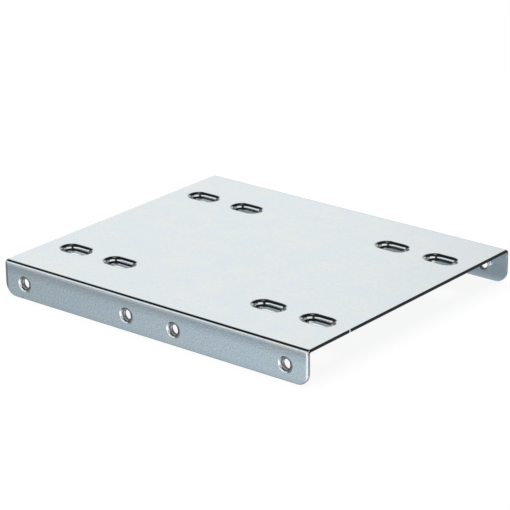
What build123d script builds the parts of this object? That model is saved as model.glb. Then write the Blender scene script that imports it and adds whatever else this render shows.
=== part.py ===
from build123d import *
from math import cos, radians, tan
import os

# Drive bay adapter bracket, in millimetres: one steel sheet folded into a shallow channel.
# A 2.5 inch drive is screwed up against the underside of the plate, between the flanges,
# and the flanges then take the side screws of a bay made for a 3.5 inch drive.
# X runs along the drive, Y across the bay and +Z up. The origin lies under the middle of
# the plate, on the plane that the feet of the flanges stand on.

# The folded sheet
bay_width = 101.6
bracket_height = 11.3
sheet = 1.0
bend_inside = 0.4
foot_corner = 4.0
shear_roll = 0.3
burr_break = 0.1
end_margin = 8.1

# Recessed slots in the plate, in the hole pattern of a 2.5 inch drive. There are two sets, one
# towards each end, so that the drive can sit either way round
drive_pitch_x = 76.6
drive_pitch_y = 61.72
slot_inset = 3.4
screw_travel = 4.5
slot_width = 3.5
slot_break = 0.1

# The pocket round each slot. Its walls lean out and meet the face of the plate at the pocket's
# width, its depth is at their foot, and from there its floor slopes on down to the slot
pocket_width = 6.0
pocket_depth = 1.25
wall_lean = 15
floor_slope = 25
pocket_lip = 1.5
pocket_heel = 0.15
boss_drop = 1.4

# Drawn and tapped holes in the flanges, in the side pattern of a 3.5 inch drive: the two
# middle ones each stand 41.6 in from an outer one, so that the bracket fits either way round
bay_pitch = 101.6
middle_pitch = 18.4
hole_drop = 6.35
bore_diameter = 3.5
draw_radius = 0.6
collar_wall = 0.6
collar_reach = 1.0
collar_root = 0.3
collar_tip = 0.12

# Nick in the right-hand rim of the plate
nick_place = -31.2
nick_radius = 0.3
nick_depth = 0.22

# Along the drive all follows from the outer side holes: the sheet ends just beyond them, and
# the outer slots stand just inside them
half_length = bay_pitch / 2 + end_margin
drive_shift = bay_pitch - 2 * slot_inset - drive_pitch_x

# Places that follow from the sizes above
bend_outside = bend_inside + sheet
half_width = bay_width / 2
plate_under = bracket_height - sheet
pocket_floor = bracket_height - pocket_depth
hole_height = bracket_height - hole_drop
hole_places = [(x, 0) for pitch in (bay_pitch, middle_pitch) for x in (-pitch / 2, pitch / 2)]
shift_places = [(-drive_shift / 2, 0), (drive_shift / 2, 0)]
touch = 1e-4

# The boss under a pocket stands out from it by the thickness of the sheet. A lip or a nose may
# be as round as its wall, less the fillet at the wall's other end, leaves room for
wall_turn = tan(radians(90 - wall_lean) / 2)
wall_share = 0.98
pocket_wall = wall_share * pocket_depth / cos(radians(wall_lean)) / wall_turn
boss_wall = wall_share * boss_drop / cos(radians(wall_lean)) / wall_turn
lip_radius = min(pocket_lip, pocket_wall - pocket_heel)
boss_width = pocket_width + 2 * sheet * wall_turn
boss_root = max(lip_radius - sheet, burr_break)
boss_nose = min(pocket_heel + sheet, boss_wall - boss_root)
floor_width = pocket_width - 2 * pocket_depth * tan(radians(wall_lean))
floor_fall = (floor_width - slot_width) / 2 * tan(radians(floor_slope))


def skin_gap(point, radius):
    # Distance from the face of the folded sheet that runs round both bends at this radius
    over_y = max(abs(point.Y) - half_width + bend_outside, 0)
    over_z = max(point.Z - bracket_height + bend_outside, 0)
    return abs((over_y**2 + over_z**2) ** 0.5 - radius)


def rim_edges(part, radius):
    # The cut rim of one face of the sheet, without the lines where the bends begin
    return part.edges().filter_by(
        lambda edge: all(skin_gap(edge @ t, radius) < touch for t in (0, 0.5, 1))
        and (edge.length < half_length or (edge @ 0.5).Z < touch)
    )


def level_edges(part, height):
    # The edges that lie level at this height inside the plate, clear of the folded rims
    return part.edges().filter_by(
        lambda edge: all(abs((edge @ t).Z - height) < touch for t in (0, 0.5, 1))
        and abs((edge @ 0.5).Y) < half_width - bend_outside
        and abs((edge @ 0.5).X) < half_length - touch
    )


def slot_outlines(width):
    # The eight slots drawn this wide in the sketch that is open
    with Locations(shift_places):
        with GridLocations(drive_pitch_x, drive_pitch_y, 2, 2):
            SlotCenterToCenter(screw_travel, width)


# The blank folded into a channel: round lower corners, an outer rim rolled over by the
# shear and a finer break on the inner rim
with BuildPart() as bracket:
    with BuildSketch(Plane.YZ) as section:
        with BuildLine():
            FilletPolyline(
                (-half_width, 0),
                (-half_width, bracket_height),
                (half_width, bracket_height),
                (half_width, 0),
                radius=bend_outside,
            )
            offset(amount=sheet, side=Side.RIGHT)
        make_face()
    extrude(amount=half_length, both=True)
    fillet(bracket.edges().filter_by(Axis.Y).group_by(Axis.Z)[0], radius=foot_corner)
    fillet(rim_edges(bracket.part, bend_outside), radius=shear_roll)
    fillet(rim_edges(bracket.part, bend_inside), radius=burr_break)

    # Bosses pressed down under the plate, one below each pocket
    with BuildSketch(Plane.XY.offset(plate_under)):
        slot_outlines(boss_width)
    extrude(amount=-boss_drop, taper=wall_lean)
    boss_edges = bracket.edges(Select.LAST).group_by(Axis.Z)
    fillet(boss_edges[0], radius=boss_nose)
    fillet(boss_edges[-1], radius=boss_root)

    # Pockets that sink the screw heads below the plate
    with BuildSketch(Plane.XY.offset(bracket_height)):
        slot_outlines(pocket_width)
    extrude(amount=-pocket_depth, taper=wall_lean, mode=Mode.SUBTRACT)
    fillet(bracket.edges(Select.LAST).group_by(Axis.Z)[-1], radius=lip_radius)
    with BuildSketch(Plane.XY.offset(pocket_floor)):
        slot_outlines(floor_width)
    extrude(amount=-floor_fall, taper=90 - floor_slope, mode=Mode.SUBTRACT)
    fillet(level_edges(bracket.part, pocket_floor), radius=pocket_heel)

    # Slots through the pocket floors
    with BuildSketch(Plane.XY.offset(pocket_floor)):
        slot_outlines(slot_width)
    extrude(amount=-sheet - boss_drop, mode=Mode.SUBTRACT)
    chamfer(level_edges(bracket.part, pocket_floor - floor_fall), length=slot_break)

    # Side holes, drawn inwards to a collar that gives the thread its length
    for side in (-1, 1):
        flange = Plane((0, side * half_width, hole_height), x_dir=(1, 0, 0), z_dir=(0, -side, 0))
        with BuildSketch(flange.offset(sheet)):
            with Locations(hole_places):
                Circle(bore_diameter / 2 + collar_wall)
        extrude(amount=collar_reach)
        collar_edges = bracket.edges(Select.LAST).group_by(Axis.Y)
        chamfer(collar_edges[-1 if side < 0 else 0], length=collar_tip)
        fillet(collar_edges[0 if side < 0 else -1], radius=collar_root)
        with BuildSketch(flange):
            with Locations(hole_places):
                Circle(bore_diameter / 2)
        extrude(amount=sheet + collar_reach, mode=Mode.SUBTRACT)
        bore_edges = bracket.edges(Select.LAST).group_by(Axis.Y)
        fillet(bore_edges[0 if side < 0 else -1], radius=draw_radius)
        chamfer(bore_edges[-1 if side < 0 else 0], length=collar_tip)

    # Nick in the rim
    with BuildSketch(Plane.XY.offset(bracket_height)):
        with Locations((half_length - nick_depth + nick_radius, nick_place)):
            Circle(nick_radius)
    extrude(amount=-sheet, mode=Mode.SUBTRACT)

bracket.part.label = "bracket"
os.makedirs("parts", exist_ok=True)
export_step(bracket.part, "parts/bracket.step")
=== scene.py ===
# Drive bay adapter bracket: finish, threads, floor, light and camera around the folded sheet
import math

import bpy
from mathutils import Matrix, Vector


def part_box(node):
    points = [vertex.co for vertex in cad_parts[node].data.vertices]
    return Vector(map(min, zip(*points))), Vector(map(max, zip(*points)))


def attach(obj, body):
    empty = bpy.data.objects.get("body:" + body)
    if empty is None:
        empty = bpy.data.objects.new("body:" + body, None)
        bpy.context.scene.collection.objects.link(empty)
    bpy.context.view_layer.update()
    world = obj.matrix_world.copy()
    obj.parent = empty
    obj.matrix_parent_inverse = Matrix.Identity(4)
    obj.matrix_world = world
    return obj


millimetre = 0.001

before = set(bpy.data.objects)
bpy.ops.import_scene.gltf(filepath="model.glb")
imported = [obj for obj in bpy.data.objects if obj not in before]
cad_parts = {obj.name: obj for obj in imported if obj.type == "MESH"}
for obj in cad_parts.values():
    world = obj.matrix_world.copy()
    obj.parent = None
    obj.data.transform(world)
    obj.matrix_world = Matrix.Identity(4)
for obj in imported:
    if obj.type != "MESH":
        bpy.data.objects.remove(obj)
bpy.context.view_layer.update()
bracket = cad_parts["bracket"]
scene = bpy.context.scene
scene.view_settings.view_transform = "Standard"
print("frame loaded")


class Signal:
    # One output socket, so that shader and geometry maths reads as plain expressions
    def __init__(self, socket):
        self.socket = socket

    def __add__(self, other):
        return maths("ADD", self, other)

    def __radd__(self, other):
        return maths("ADD", other, self)

    def __sub__(self, other):
        return maths("SUBTRACT", self, other)

    def __rsub__(self, other):
        return maths("SUBTRACT", other, self)

    def __mul__(self, other):
        return maths("MULTIPLY", self, other)

    def __rmul__(self, other):
        return maths("MULTIPLY", other, self)

    def __truediv__(self, other):
        return maths("DIVIDE", self, other)

    def __rtruediv__(self, other):
        return maths("DIVIDE", other, self)

    def __pow__(self, other):
        return maths("POWER", self, other)

    def __abs__(self):
        return maths("ABSOLUTE", self)


class Board:
    # A node tree that nodes are put on, each with its settings first and then its sockets
    def __init__(self, tree):
        self.tree = tree

    def put(self, kind, settings=None, sockets=None, output=0):
        node = self.tree.nodes.new(kind)
        for name, value in (settings or {}).items():
            setattr(node, name, value)
        for key, value in (sockets or {}).items():
            if isinstance(value, Signal):
                self.tree.links.new(value.socket, node.inputs[key])
            else:
                node.inputs[key].default_value = value
        return Signal(node.outputs[output]) if node.outputs else None

    def other(self, signal, output):
        return Signal(signal.socket.node.outputs[output])

    def vector(self, operation, sockets):
        return self.put("ShaderNodeVectorMath", {"operation": operation}, sockets)

    def join(self, sockets):
        return self.put("ShaderNodeCombineXYZ", {}, sockets)

    def parts(self, vector):
        split = self.put("ShaderNodeSeparateXYZ", {}, {0: vector})
        return [self.other(split, name) for name in "XYZ"]

    def smooth(self, value, low, high):
        # 0 below low, 1 above high and a soft step between them; falls where low is above high
        return self.put(
            "ShaderNodeMapRange", {"interpolation_type": "SMOOTHSTEP"},
            {"Value": value, "From Min": low, "From Max": high},
        )

    def near(self, value, face, margins):
        # 0 further in from the faces on both sides than the first margin, 1 from the second outwards
        start, full = margins
        return self.smooth(abs(value), face - start, face - full)

    def mixColour(self, factor, first, second):
        return self.put(
            "ShaderNodeMix", {"data_type": "RGBA"},
            {0: factor, 6: first, 7: second}, output=2,
        )

    def noise(self, place, scale, detail, roughness, stretch=None):
        # Cloudy noise about 0.5, its scale in cells for each unit of the place
        if stretch:
            place = self.vector("MULTIPLY", {0: place, 1: stretch})
        return self.put(
            "ShaderNodeTexNoise", {"noise_dimensions": "3D"},
            {"Vector": place, "Scale": scale, "Detail": detail, "Roughness": roughness},
        )


def maths(operation, *values):
    # A Math node on the tree of the first value that is a signal
    tree = next(value.socket.id_data for value in values if isinstance(value, Signal))
    return Board(tree).put("ShaderNodeMath", {"operation": operation}, dict(enumerate(values)))


def newMaterial(name):
    material = bpy.data.materials.new(name)
    material.use_nodes = True
    material.node_tree.nodes.clear()
    return material, Board(material.node_tree)


# Sizes of the sheet that its finish and its threads share, in millimetres
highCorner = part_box("bracket")[1]
sheet = {
    "halfLength": highCorner.x / millimetre,
    "halfWidth": highCorner.y / millimetre,
    "holePlaces": (50.8, 9.2),  # out from the middle, to both sides
    "holeHeight": 4.95,
}

# Uneven patterns in the zinc. Scale is in cells for each millimetre, after the stretch along
# X, Y and Z where there is one
patterns = {
    "cloud": {"scale": 0.09, "detail": 4.0, "roughness": 0.62},
    "patch": {"scale": 0.63, "detail": 3.0, "roughness": 0.6},
    "speckle": {"scale": 2.7, "detail": 2.0, "roughness": 0.6},
    "grain": {"scale": 1.3, "detail": 4.0, "roughness": 0.7},
    "rolled": {"stretch": (0.12, 1.6, 1.6), "scale": 1.0, "detail": 3.0, "roughness": 0.6},
    "drag": {"stretch": (1, 9, 1.2), "scale": 1.0, "detail": 3.0, "roughness": 0.6},
}

# Zinc plate. Lengths are in millimetres, and a pair of them is where something starts and is full.
# Margins are measured in from the sheet's end or side faces, heights up from its feet
zinc = {
    "cool": (0.735, 0.800, 0.850, 1),
    "warm": (0.795, 0.812, 0.805, 1),
    "tintShares": {"cloud": 0.45, "patch": 0.3, "speckle": 0.25},
    "tintRange": (0.40, 0.60),
    "flangeMargins": (0.3, 0.1),
    "plateSpeckle": 0.16,
    "flangeSpeckle": 0.55,
    "roughness": 0.12,
    "roughShares": {"cloud": 0.35, "patch": 0.4, "grain": 0.25},
    "roughSpread": 0.14,
    "grainHeight": 0.055,
    "plateGrain": 0.18,  # share of the grain's height that the plate keeps
    "rolledHeight": 0.0008,
    # Tapped bores, cut bare and darker: bare steel, with painted shade inside the bore
    "tapped": (0.42, 0.43, 0.44, 1),
    "tappedRadii": (1.85, 1.77),
    "tappedRoughness": 0.16,
    # Sheared ends of the sheet, painted near-black along the plate as a painted dark reflection, and
    # plated on the flanges
    "shearedPaintedDark": (0.05, 0.053, 0.06, 1),
    "shearedMargins": (0.06, 0.02),
    "shearedRoughness": 0.17,
    "flangeEndHeights": (10.8, 9.6),
    "flangeEndRoughness": 0.15,
    "dragRoughness": 0.3,
    "dragHeight": 0.02,
    # Bow of the flanges just below the bend, and the crown of the bend, flattest in its middle
    "bentMargins": (3.5, 2.5),
    "bowHeights": (6.6, 9.9),
    "bowSlope": 0.085,
    "crownFootHeights": (9.75, 10.35),
    "crownFoot": 0.06,
    "crownTopHeights": (10.35, 11.28),
    "crownTop": 0.11,
    # Roll at the flanges' ends, where the shear came in
    "rollLength": 1.2,
    "rollSlope": 0.40,
    # Dip of the outer face into the drawn holes
    "drawnMargins": (0.9, 0.6),
    "dipRadii": (2.7, 2.05),
    "dipDepth": 0.20,
}


def blendOf(noises, shares):
    return sum(noises[name] * share for name, share in shares.items())


def zincColour(board, noises, masks):
    tint = board.smooth(blendOf(noises, zinc["tintShares"]), *zinc["tintRange"])
    plain = board.mixColour(tint, zinc["cool"], zinc["warm"])
    speckleShare = zinc["plateSpeckle"] + masks["flange"] * (zinc["flangeSpeckle"] - zinc["plateSpeckle"])
    fleck = 1 + (noises["speckle"] - 0.5) * speckleShare
    plated = board.vector("SCALE", {0: plain, "Scale": fleck})
    # Darker bores: bare steel and painted shade inside them
    bored = board.mixColour(masks["tapped"], plated, zinc["tapped"])
    # Near-black on the plate's sheared ends is a painted dark reflection; the flanges' ends keep the
    # plated colour
    return board.mixColour(masks["shearedPaintedDark"] * (1 - masks["flangeEnd"]), bored, zinc["shearedPaintedDark"])


def zincRoughness(noises, masks):
    satin = zinc["roughness"] + (blendOf(noises, zinc["roughShares"]) - 0.5) * zinc["roughSpread"]
    cut = (
        zinc["shearedRoughness"] + masks["flangeEnd"] * zinc["flangeEndRoughness"]
        + (noises["drag"] - 0.5) * zinc["dragRoughness"]
    )
    shearedPaintedDark = masks["shearedPaintedDark"]
    return satin * (1 - shearedPaintedDark) + shearedPaintedDark * cut + masks["tapped"] * zinc["tappedRoughness"]


def zincMarks(noises, masks):
    # Grain, weaker on the plate, streaks left by rolling and marks dragged over the sheared ends
    grainShare = zinc["plateGrain"] + (1 - zinc["plateGrain"]) * masks["flange"]
    return (
        noises["grain"] * zinc["grainHeight"] * grainShare
        + noises["rolled"] * zinc["rolledHeight"]
        + masks["shearedPaintedDark"] * noises["drag"] * zinc["dragHeight"]
    )


def zincForms(board, x, z, masks):
    # How far the sheet's skin falls back. Bow and crown end level with the plate, at nothing
    bowStart, bowFull = zinc["bowHeights"]
    bowRange = bowFull - bowStart
    bowed = maths("MAXIMUM", maths("MINIMUM", z, bowFull) - bowStart, 0.0)
    bow = (bowed * bowed / bowRange - bowRange) * zinc["bowSlope"] / 2
    crown = (
        board.smooth(z, *zinc["crownFootHeights"]) * zinc["crownFoot"]
        - board.smooth(z, *zinc["crownTopHeights"]) * zinc["crownTop"]
        + (zinc["crownTop"] - zinc["crownFoot"])
    )
    rolled = maths("MAXIMUM", abs(x) - (sheet["halfLength"] - zinc["rollLength"]), 0.0)
    roll = rolled * rolled * zinc["rollSlope"] / (2 * zinc["rollLength"])
    dip = masks["dipped"] * zinc["dipDepth"]
    forms = (bow + crown) * masks["bent"] + roll * masks["flange"] + dip * masks["drawn"]
    return forms * (1 - masks["shearedPaintedDark"])


def makeZinc():
    material, board = newMaterial("zinc_plated_steel")
    raw = board.put("ShaderNodeTexCoord", output="Object")
    place = board.vector("MULTIPLY", {0: raw, 1: (1 / millimetre,) * 3})
    x, y, z = board.parts(place)
    across = maths("MINIMUM", *(abs(abs(x) - middle) for middle in sheet["holePlaces"]))
    fromAxis = maths("SQRT", across * across + (z - sheet["holeHeight"]) ** 2)
    noises = {name: board.noise(place, **pattern) for name, pattern in patterns.items()}
    masks = {
        "flange": board.near(y, sheet["halfWidth"], zinc["flangeMargins"]),
        "bent": board.near(y, sheet["halfWidth"], zinc["bentMargins"]),
        "drawn": board.near(y, sheet["halfWidth"], zinc["drawnMargins"]),
        "shearedPaintedDark": board.near(x, sheet["halfLength"], zinc["shearedMargins"]),
        "flangeEnd": board.smooth(z, *zinc["flangeEndHeights"]),
        "tapped": board.smooth(fromAxis, *zinc["tappedRadii"]),
        "dipped": board.smooth(fromAxis, *zinc["dipRadii"]),
    }
    height = zincMarks(noises, masks) - zincForms(board, x, z, masks)
    bump = board.put(
        "ShaderNodeBump", {}, {"Strength": 1.0, "Distance": millimetre, "Height": height}
    )
    shader = board.put(
        "ShaderNodeBsdfPrincipled", {},
        {"Base Color": zincColour(board, noises, masks), "Metallic": 1.0,
         "Roughness": zincRoughness(noises, masks), "Normal": bump},
    )
    board.put("ShaderNodeOutputMaterial", {}, {"Surface": shader})
    return material


zincSteel = makeZinc()
bracket.data.materials.clear()
bracket.data.materials.append(zincSteel)
print("zinc plate done")


# Threads: a helical ridge in each bore, run by one node tree over the eight hole centres.
# Lengths are in millimetres and angles in degrees
threads = {
    "boreRadius": 1.75,
    "pitch": 25.4 / 32,
    "turns": 1.5,
    "startDepth": 0.42,
    "ridgeHeight": 0.40,
    "ridgeRoot": 0.62,
    "ridgeCrest": 0.14,
    "sunk": 0.05,
    "fade": 0.13,  # share of the ridge over which each end runs out into the wall
    "firstAngle": -95.0,
    "lastAngle": -55.0,
    "seed": 6,
    "steps": 64,  # along each turn
    "creaseAngle": 35,
}

# Inputs of the node tree, each with the size that it takes and that size's unit
threadInputs = {
    "Bore radius": ("boreRadius", millimetre),
    "Pitch": ("pitch", millimetre),
    "Turns": ("turns", 1.0),
    "Start depth": ("startDepth", millimetre),
    "Ridge height": ("ridgeHeight", millimetre),
    "Ridge root": ("ridgeRoot", millimetre),
    "Ridge crest": ("ridgeCrest", millimetre),
    "Sunk": ("sunk", millimetre),
    "Fade": ("fade", 1.0),
    "First angle": ("firstAngle", math.radians(1)),
    "Last angle": ("lastAngle", math.radians(1)),
}


def makeRidge(board, given):
    # One ridge, its axis along Z, which dives into the wall at both ends
    spiral = board.put(
        "GeometryNodeCurveSpiral", {},
        {"Resolution": threads["steps"], "Rotations": given["Turns"],
         "Start Radius": given["Bore radius"], "End Radius": given["Bore radius"],
         "Height": given["Turns"] * given["Pitch"], "Reverse": True},
    )
    along = board.put("GeometryNodeSplineParameter")
    inward = board.smooth(along, 0.0, given["Fade"]) * board.smooth(along, 1.0, 1 - given["Fade"])
    position = board.put("GeometryNodeInputPosition")
    outward = board.vector("NORMALIZE", {0: board.vector("MULTIPLY", {0: position, 1: (1, 1, 0)})})
    dive = given["Sunk"] - given["Ridge height"] / 2 + (1 - inward) * given["Ridge height"]
    path = board.put(
        "GeometryNodeSetPosition", {},
        {"Geometry": spiral, "Offset": board.vector("SCALE", {0: outward, "Scale": dive})},
    )
    upright = board.put("GeometryNodeSetCurveNormal", {"mode": "Z_UP"}, {"Curve": path})
    section = board.put(
        "GeometryNodeCurvePrimitiveQuadrilateral", {"mode": "TRAPEZOID"},
        {"Bottom Width": given["Ridge root"], "Top Width": given["Ridge crest"],
         "Height": given["Ridge height"], "Offset": 0.0},
    )
    turned = board.put(
        "GeometryNodeTransform", {}, {"Geometry": section, "Rotation": (0, 0, math.radians(90))}
    )
    ridge = board.put(
        "GeometryNodeCurveToMesh", {}, {"Curve": upright, "Profile Curve": turned, "Fill Caps": True}
    )
    return board.put(
        "GeometryNodeTransform", {},
        {"Geometry": ridge, "Translation": board.join({"Z": given["Start depth"]})},
    )


def makeThreadTree(material):
    tree = bpy.data.node_groups.new("helical_ridges", "GeometryNodeTree")
    tree.interface.new_socket("Geometry", in_out="INPUT", socket_type="NodeSocketGeometry")
    kinds = {name: "NodeSocketFloat" for name in threadInputs} | {"Seed": "NodeSocketInt"}
    inputs = {
        name: tree.interface.new_socket(name, in_out="INPUT", socket_type=kind).identifier
        for name, kind in kinds.items()
    }
    tree.interface.new_socket("Geometry", in_out="OUTPUT", socket_type="NodeSocketGeometry")
    board = Board(tree)
    centres = board.put("NodeGroupInput")
    given = {name: board.other(centres, name) for name in inputs}
    # One ridge on each centre, its axis into the flange, started at a different angle
    y = board.parts(board.put("GeometryNodeInputPosition"))[1]
    copies = board.put(
        "GeometryNodeInstanceOnPoints", {},
        {"Points": centres, "Instance": makeRidge(board, given),
         "Rotation": board.join({"X": maths("SIGN", y) * math.radians(90)})},
    )
    angle = board.put(
        "FunctionNodeRandomValue", {"data_type": "FLOAT"},
        {2: given["First angle"], 3: given["Last angle"], "ID": board.put("GeometryNodeInputIndex"),
         "Seed": given["Seed"]},
        output=1,
    )
    spun = board.put(
        "GeometryNodeRotateInstances", {},
        {"Instances": copies, "Rotation": board.join({"Z": angle}), "Local Space": True},
    )
    real = board.put("GeometryNodeRealizeInstances", {}, {"Geometry": spun})
    finished = board.put("GeometryNodeSetMaterial", {}, {"Geometry": real, "Material": material})
    board.put("NodeGroupOutput", {}, {"Geometry": finished})
    return tree, inputs


def makeThreads():
    across = sorted(side * middle for side in (-1, 1) for middle in sheet["holePlaces"])
    centres = [(x, side * sheet["halfWidth"], sheet["holeHeight"]) for side in (-1, 1) for x in across]
    mesh = bpy.data.meshes.new("hole_centres")
    mesh.from_pydata([Vector(centre) * millimetre for centre in centres], [], [])
    piece = bpy.data.objects.new("hole_threads", mesh)
    scene.collection.objects.link(piece)
    tree, inputs = makeThreadTree(zincSteel)
    modifier = piece.modifiers.new("ridges", "NODES")
    modifier.node_group = tree
    for name, (size, unit) in threadInputs.items():
        modifier[inputs[name]] = threads[size] * unit
    modifier[inputs["Seed"]] = threads["seed"]
    solid = bpy.data.meshes.new_from_object(piece.evaluated_get(bpy.context.evaluated_depsgraph_get()))
    piece.modifiers.clear()
    piece.data = solid
    solid.name = "hole_threads"
    for face in solid.polygons:
        face.use_smooth = True
    solid.set_sharp_from_angle(angle=math.radians(threads["creaseAngle"]))
    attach(piece, "root")


makeThreads()
print("threads done")


# Floor, in metres: white to the camera but for the shadow. The metal mirrors a glowing patch of it under
# the bracket, a painted reflection, and past that the windows that lie below the horizon
ground = {
    "reach": 6.0,
    "seen": 0.9,  # glow, which the lit share of the shaded colour brings up to white
    "shaded": (0.1, 0.1, 0.1, 1),
    "matt": (0.62, 0.66, 0.70, 1),
    # glow of the patch under the bracket that only the metal mirrors: painted reflection
    "mirroredGlow": (0.31, 0.365, 0.40, 1),
    "mirroredShare": 0.8,
    "patch": (0.062, 0.050),  # half its length and half its width
    "patchSoftness": 0.006,
}


def makeFloor():
    reach = ground["reach"]
    mesh = bpy.data.meshes.new("floor")
    corners = [(-reach, -reach, 0), (reach, -reach, 0), (reach, reach, 0), (-reach, reach, 0)]
    mesh.from_pydata(corners, [], [(0, 1, 2, 3)])
    floor = bpy.data.objects.new("floor", mesh)
    scene.collection.objects.link(floor)
    material, board = newMaterial("pale_floor")
    path = board.put("ShaderNodeLightPath")
    seen = board.other(path, "Is Camera Ray")
    inMetal = board.other(path, "Is Glossy Ray")
    matt = board.put("ShaderNodeBsdfDiffuse", {}, {"Color": ground["matt"]})
    # Glow of the patch under the bracket that only glossy rays see: painted reflection
    pale = board.put("ShaderNodeEmission", {}, {"Color": ground["mirroredGlow"], "Strength": 1.0})
    under = board.put("ShaderNodeMixShader", {}, {0: inMetal * ground["mirroredShare"], 1: matt, 2: pale})
    place = board.parts(board.put("ShaderNodeTexCoord", output="Object"))
    soft = ground["patchSoftness"]
    alongX, alongY = (
        board.smooth(abs(value), half + soft, half - soft) for value, half in zip(place, ground["patch"])
    )
    clear = board.put("ShaderNodeBsdfTransparent")
    mirroredGlow = board.put(
        "ShaderNodeMixShader", {}, {0: inMetal * (1 - alongX * alongY), 1: under, 2: clear}
    )
    shaded = board.put("ShaderNodeBsdfDiffuse", {}, {"Color": ground["shaded"]})
    glow = board.put("ShaderNodeEmission", {}, {"Color": (1, 1, 1, 1), "Strength": ground["seen"]})
    whiteFloor = board.put("ShaderNodeAddShader", {}, {0: glow, 1: shaded})
    shown = board.put("ShaderNodeMixShader", {}, {0: seen, 1: mirroredGlow, 2: whiteFloor})
    board.put("ShaderNodeOutputMaterial", {}, {"Surface": shown})
    mesh.materials.append(material)


makeFloor()
print("floor done")


# Light: soft windows in an otherwise dark studio, which is white to the camera. Azimuth is in
# degrees from the front of the bracket towards its right end. Each window has, in this order, the
# centre and half width of its azimuth, its lower and upper elevation, how soft its sides and its
# ends are, its strength and its colour
skyWindows = {
    "backdrop": ((-137, 19), (4, 48), (14, 8), 0.96, (0.985, 1, 1)),
    "front": ((-27, 32), (-6, 29), (8, 5), 0.47, (0.94, 1, 1.04)),
    "frontHigh": ((-38, 24), (14, 31), (10, 6), 0.52, (0.96, 1, 1.03)),
    "frontBright": ((-6, 13), (-8, 36), (8, 8), 0.60, (1, 1, 1)),
    "frontRight": ((10, 8), (-12, 19), (7, 6), 0.45, (1, 1, 1)),
    "right": ((74, 34), (-28, 41), (8, 10), 0.95, (1, 1, 1)),
    "lowRight": ((16, 24), (-36, -8), (10, 8), 1.1, (0.96, 1, 1.03)),
    "rearSide": ((134, 22), (3, 26), (10, 7), 0.42, (1, 1, 1)),
    "rearRight": ((139, 9), (-34, -6), (10, 8), 0.38, (1, 1, 1)),
    "rearLow": ((-176.5, 14), (-36, 20), (11, 15), 0.9, (1, 1, 1)),
    "leftLow": ((-116, 10), (-20, 18), (12, 12), 0.5, (1, 1, 1)),
    "rearLeft": ((-138, 20), (-34, -4), (12, 8), 0.5, (1, 1, 1)),
    "left": ((-88, 20), (-25, 22), (14, 8), 0.17, (1, 1, 1)),
    "zenith": ((0, 200), (82, 100), (1, 5), 0.34, (1, 1, 1)),
    "frontLow": ((-22, 36), (-38, -5), (16, 8), 0.25, (0.85, 1, 1.10)),
    "frontFloor": ((-12, 34), (-42, -18.5), (14, 5), 0.41, (0.85, 1, 1.10)),
    "underRight": ((70, 89), (-83, -33), (16, 11), 0.45, (0.9, 1, 1.08)),
}
dark = {"above": 0.014, "below": 0.09, "horizon": (-6, 2)}


def makeWorld():
    world = bpy.data.worlds.new("studio")
    scene.world = world
    world.use_nodes = True
    world.node_tree.nodes.clear()
    board = Board(world.node_tree)
    dx, dy, dz = board.parts(board.put("ShaderNodeTexCoord", output="Generated"))
    azimuth = maths("DEGREES", maths("ARCTAN2", dx, -1 * dy))
    elevation = maths("DEGREES", maths("ARCSINE", dz))
    base = dark["below"] + (dark["above"] - dark["below"]) * board.smooth(elevation, *dark["horizon"])
    colour = board.join({0: base, 1: base, 2: base})
    for (centre, half), (low, high), (side, end), strength, tint in skyWindows.values():
        away = abs(maths("WRAP", azimuth - centre, 180.0, -180.0))
        level = (
            board.smooth(away, half + side, half - side)
            * board.smooth(elevation, low - end, low + end)
            * board.smooth(elevation, high + end, high - end)
        )
        colour = board.vector(
            "MULTIPLY_ADD",
            {0: board.join({0: level, 1: level, 2: level}),
             1: tuple(channel * strength for channel in tint), 2: colour},
        )
    seen = board.put("ShaderNodeLightPath", output="Is Camera Ray")
    final = board.mixColour(seen, colour, (1, 1, 1, 1))
    light = board.put("ShaderNodeBackground", {}, {"Color": final, "Strength": 1.0})
    board.put("ShaderNodeOutputWorld", {}, {"Surface": light})


# Square lamp that faces down over the bracket, for its shadow on the floor, in metres and watts
overhead = {"size": 1.2, "height": 1.2, "power": 18}


def makeLamp():
    data = bpy.data.lights.new("overhead", "AREA")
    data.size = overhead["size"]
    data.energy = overhead["power"]
    lamp = bpy.data.objects.new("overhead", data)
    lamp.location = (0, 0, overhead["height"])
    lamp.visible_glossy = False
    scene.collection.objects.link(lamp)


makeWorld()
makeLamp()
print("light done")


# Camera. Places are in metres, the lens in millimetres and the roll in degrees
view = {
    "lens": 168.67,
    "place": (0.43401, -0.53548, 0.27237),
    "aim": (0.0007, -0.0021, 0.0118),
    "roll": -0.5959,
    "nearest": 0.01,
}


def makeCamera():
    data = bpy.data.cameras.new("camera")
    data.lens = view["lens"]
    data.clip_start = view["nearest"]
    camera = bpy.data.objects.new("camera", data)
    place = Vector(view["place"])
    level = (Vector(view["aim"]) - place).to_track_quat("-Z", "Y").to_matrix()
    turn = level @ Matrix.Rotation(math.radians(view["roll"]), 3, "Z")
    camera.matrix_world = Matrix.Translation(place) @ turn.to_4x4()
    scene.collection.objects.link(camera)
    scene.camera = camera


makeCamera()
print("camera done")
